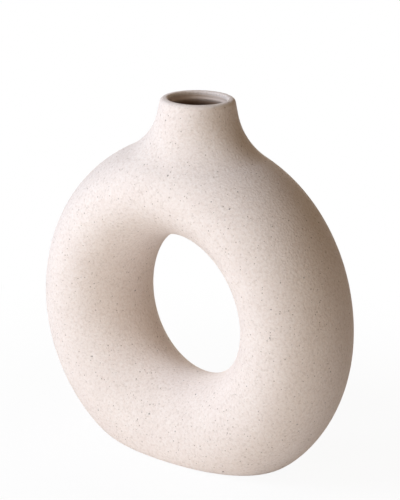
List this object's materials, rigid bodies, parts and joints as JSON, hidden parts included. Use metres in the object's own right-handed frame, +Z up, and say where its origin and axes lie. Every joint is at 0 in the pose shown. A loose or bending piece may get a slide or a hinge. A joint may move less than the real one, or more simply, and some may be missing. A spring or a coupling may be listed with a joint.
{
  "type": "donut vase",
  "caption": "Free-standing ring-shaped stoneware vase with an off-centre oval hole, flat foot and short flared neck, hollow all round for water and dry or cut stems.",
  "frame": {"origin": "middle of the flat foot, on the surface that the vase stands on", "axes": "+X across the ring's width, +Y from the front face to the back, +Z up through the neck"},
  "size_m": [0.1898, 0.0728, 0.1999],
  "materials": {
    "stoneware": "matte, speckled",
    "slip": "matte, fettled flush",
    "liner_glaze": "glossy"
  },
  "bodies": {
    "root": {"front_half_shell": "stoneware", "back_half_shell": "stoneware", "outer_seam_slip": "slip", "inner_seam_slip": "slip", "neck_collar": "stoneware", "neck_seam_slip": "slip", "glaze_lining": "liner_glaze"}
  },
  "joints": []
}
